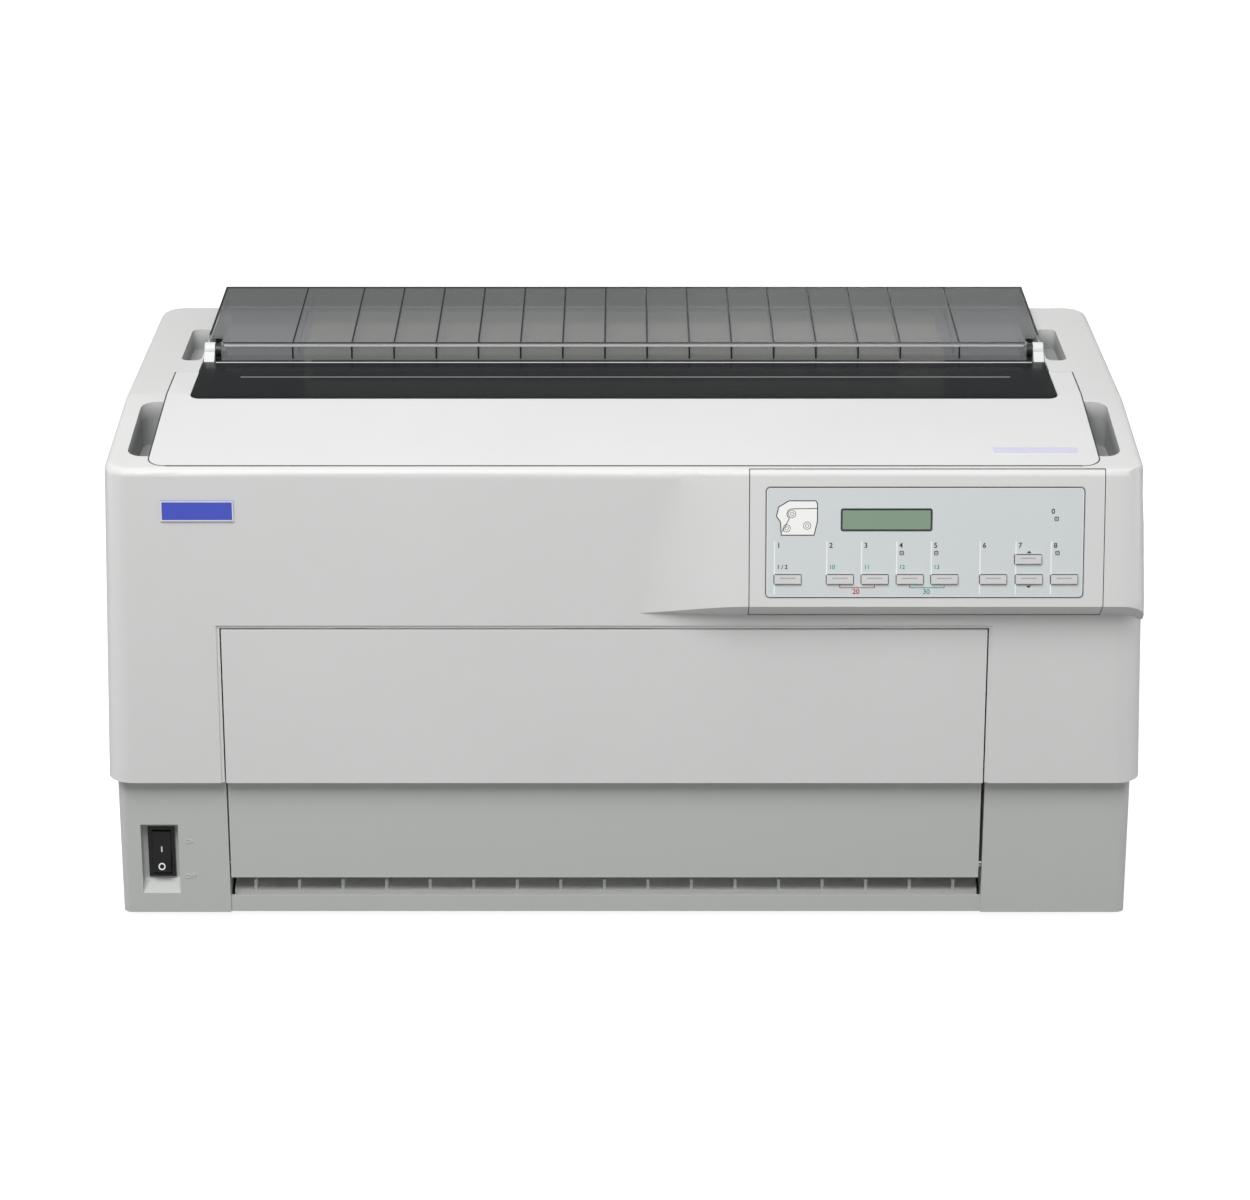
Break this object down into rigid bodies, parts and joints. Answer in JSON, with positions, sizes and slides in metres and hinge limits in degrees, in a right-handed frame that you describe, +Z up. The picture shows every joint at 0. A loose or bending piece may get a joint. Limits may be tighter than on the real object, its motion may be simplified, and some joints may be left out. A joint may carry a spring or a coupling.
{
  "type": "dot matrix printer",
  "caption": "Wide-carriage impact printer with a raised control panel, hinged smoked and solid top covers, a front tractor door and finger pockets.",
  "frame": {"origin": "on the table, under the middle of the overall box", "axes": "+X to the right seen from the front, +Y to the back, +Z up"},
  "size_m": [0.7, 0.378, 0.352],
  "materials": {
    "casing": "fine-grained warm grey moulding",
    "cover": "fine-grained off-white moulding",
    "base": "fine-grained grey moulding",
    "label": "satin printed film",
    "smoked": "smoked clear moulding",
    "display": "green liquid crystal pane",
    "button": "satin keycap",
    "lamp": "clear light pipe",
    "board": "coated circuit board",
    "badge": "glossy blue plate",
    "plate": "pearly pale plate",
    "black": "semi-gloss black moulding",
    "rubber": "matt black rubber",
    "beige": "beige moulding",
    "deck": "blue-grey moulding",
    "steel": "zinc-plated sheet",
    "rod": "ground and plated rod",
    "motor": "black stepping motor case",
    "head": "cast and black-edged alloy",
    "gear": "natural acetal",
    "inner": "black moulding",
    "fabric": "inked nylon tape"
  },
  "bodies": {
    "chassis": {"ac_inlet": "black", "badge_plate": "badge", "base_tray": "base", "carriage_belt": "rubber", "carriage_motor": "motor", "control_panel_bezel": "casing", "door_pins": "rod", "feed_motors": "motor", "front_paper_guide": "base", "guide_rods": "rod", "hinge_brackets": "inner", "indicator_lamps": "lamp", "inked_ribbon": "fabric", "interface_ports": "inner", "lcd_display": "display", "main_board": "board", "panel_board": "board", "panel_label": "label", "power_supply": "steel", "power_switch_body": "black", "rear_deck": "deck", "rear_paper_guide": "beige", "ribbon_cartridge": "inner", "rubber_feet": "rubber", "side_frame_left": "steel", "side_frame_right": "steel", "tear_bar": "steel", "tractor_rods": "rod", "upper_housing": "casing"},
    "top_cover": {"top_cover": "cover", "cover_window": "smoked", "cover_arm_left": "cover", "cover_arm_right": "cover", "model_plate": "plate"},
    "rear_lid": {"rear_lid": "smoked"},
    "front_door": {"front_door": "casing"},
    "power_rocker": {"power_rocker": "black"},
    "platen": {"platen_roller": "rubber", "platen_shaft": "rod", "platen_gear": "gear"},
    "motor_pinion": {"motor_pinion": "gear"},
    "carriage": {"carriage": "inner", "print_head": "head"},
    "drive_pulley": {"drive_pulley": "head"},
    "idler_pulley": {"idler_pulley": "gear"},
    "front_tractor_shaft": {"front_tractor_shaft": "rod"},
    "rear_tractor_shaft": {"rear_tractor_shaft": "rod"},
    "button_1": {"button_1": "button"},
    "button_2": {"button_2": "button"},
    "button_3": {"button_3": "button"},
    "button_4": {"button_4": "button"},
    "button_5": {"button_5": "button"},
    "button_6": {"button_6": "button"},
    "button_7": {"button_7": "button"},
    "button_8": {"button_8": "button"},
    "button_9": {"button_9": "button"},
    "front_tractor_left": {"front_tractor_left": "inner"},
    "front_tractor_right": {"front_tractor_right": "inner"},
    "rear_tractor_left": {"rear_tractor_left": "inner"},
    "rear_tractor_right": {"rear_tractor_right": "inner"}
  },
  "joints": [
    {"name": "top_cover_hinge", "type": "hinge", "parent": "chassis", "child": "top_cover", "pos_m": [0, 0.05, 0.343], "axis": [-1, 0, 0], "range_deg": [0, 65]},
    {"name": "rear_lid_hinge", "type": "hinge", "parent": "chassis", "child": "rear_lid", "pos_m": [0, 0.05, 0.343], "axis": [1, 0, 0], "range_deg": [0, 60]},
    {"name": "front_door_hinge", "type": "hinge", "parent": "chassis", "child": "front_door", "pos_m": [0, -0.162, 0.038], "axis": [1, 0, 0], "range_deg": [0, 90]},
    {"name": "power_rocker_pivot", "type": "hinge", "parent": "chassis", "child": "power_rocker", "pos_m": [-0.3169, -0.158, 0.0465], "axis": [1, 0, 0], "range_deg": [0, 16]},
    {"name": "button_1_press", "type": "slide", "parent": "chassis", "child": "button_1", "axis": [0, 0.9836, -0.1802], "range_m": [0, 0.001], "stiffness_N_per_m": 300, "springref_m": -0.001},
    {"name": "button_2_press", "type": "slide", "parent": "chassis", "child": "button_2", "axis": [0, 0.9836, -0.1802], "range_m": [0, 0.001], "stiffness_N_per_m": 300, "springref_m": -0.001},
    {"name": "button_3_press", "type": "slide", "parent": "chassis", "child": "button_3", "axis": [0, 0.9836, -0.1802], "range_m": [0, 0.001], "stiffness_N_per_m": 300, "springref_m": -0.001},
    {"name": "button_4_press", "type": "slide", "parent": "chassis", "child": "button_4", "axis": [0, 0.9836, -0.1802], "range_m": [0, 0.001], "stiffness_N_per_m": 300, "springref_m": -0.001},
    {"name": "button_5_press", "type": "slide", "parent": "chassis", "child": "button_5", "axis": [0, 0.9836, -0.1802], "range_m": [0, 0.001], "stiffness_N_per_m": 300, "springref_m": -0.001},
    {"name": "button_6_press", "type": "slide", "parent": "chassis", "child": "button_6", "axis": [0, 0.9836, -0.1802], "range_m": [0, 0.001], "stiffness_N_per_m": 300, "springref_m": -0.001},
    {"name": "button_7_press", "type": "slide", "parent": "chassis", "child": "button_7", "axis": [0, 0.9836, -0.1802], "range_m": [0, 0.001], "stiffness_N_per_m": 300, "springref_m": -0.001},
    {"name": "button_8_press", "type": "slide", "parent": "chassis", "child": "button_8", "axis": [0, 0.9836, -0.1802], "range_m": [0, 0.001], "stiffness_N_per_m": 300, "springref_m": -0.001},
    {"name": "button_9_press", "type": "slide", "parent": "chassis", "child": "button_9", "axis": [0, 0.9836, -0.1802], "range_m": [0, 0.001], "stiffness_N_per_m": 300, "springref_m": -0.001},
    {"name": "platen_spin", "type": "hinge", "parent": "chassis", "child": "platen", "pos_m": [-0.0135, -0.036, 0.216], "axis": [1, 0, 0], "continuous": true},
    {"name": "motor_pinion_spin", "type": "hinge", "parent": "chassis", "child": "motor_pinion", "pos_m": [0.226, -0.00077, 0.17402], "axis": [1, 0, 0], "continuous": true},
    {"name": "carriage_slide", "type": "slide", "parent": "chassis", "child": "carriage", "axis": [1, 0, 0], "range_m": [-0.165, 0.165]},
    {"name": "drive_pulley_spin", "type": "hinge", "parent": "chassis", "child": "drive_pulley", "pos_m": [0.193, -0.118, 0.177], "axis": [0, 0, 1], "range_deg": [-930, 930]},
    {"name": "idler_pulley_spin", "type": "hinge", "parent": "chassis", "child": "idler_pulley", "pos_m": [-0.22, -0.118, 0.177], "axis": [0, 0, 1], "range_deg": [-930, 930]},
    {"name": "front_tractor_shaft_spin", "type": "hinge", "parent": "chassis", "child": "front_tractor_shaft", "pos_m": [-0.0135, -0.086, 0.082], "axis": [1, 0, 0], "continuous": true},
    {"name": "rear_tractor_shaft_spin", "type": "hinge", "parent": "chassis", "child": "rear_tractor_shaft", "pos_m": [-0.0135, 0.09, 0.104], "axis": [1, 0, 0], "continuous": true},
    {"name": "front_tractor_left_slide", "type": "slide", "parent": "chassis", "child": "front_tractor_left", "axis": [1, 0, 0], "range_m": [-0.01, 0.06]},
    {"name": "front_tractor_right_slide", "type": "slide", "parent": "chassis", "child": "front_tractor_right", "axis": [1, 0, 0], "range_m": [-0.06, 0.01]},
    {"name": "rear_tractor_left_slide", "type": "slide", "parent": "chassis", "child": "rear_tractor_left", "axis": [1, 0, 0], "range_m": [-0.01, 0.06]},
    {"name": "rear_tractor_right_slide", "type": "slide", "parent": "chassis", "child": "rear_tractor_right", "axis": [1, 0, 0], "range_m": [-0.06, 0.01]}
  ],
  "couplings": [
    {"joint": "motor_pinion_spin", "follows": "platen_spin", "ratio": -5},
    {"joint": "drive_pulley_spin", "follows": "carriage_slide", "rad_per_m": -97.087},
    {"joint": "idler_pulley_spin", "follows": "carriage_slide", "rad_per_m": -97.087}
  ]
}
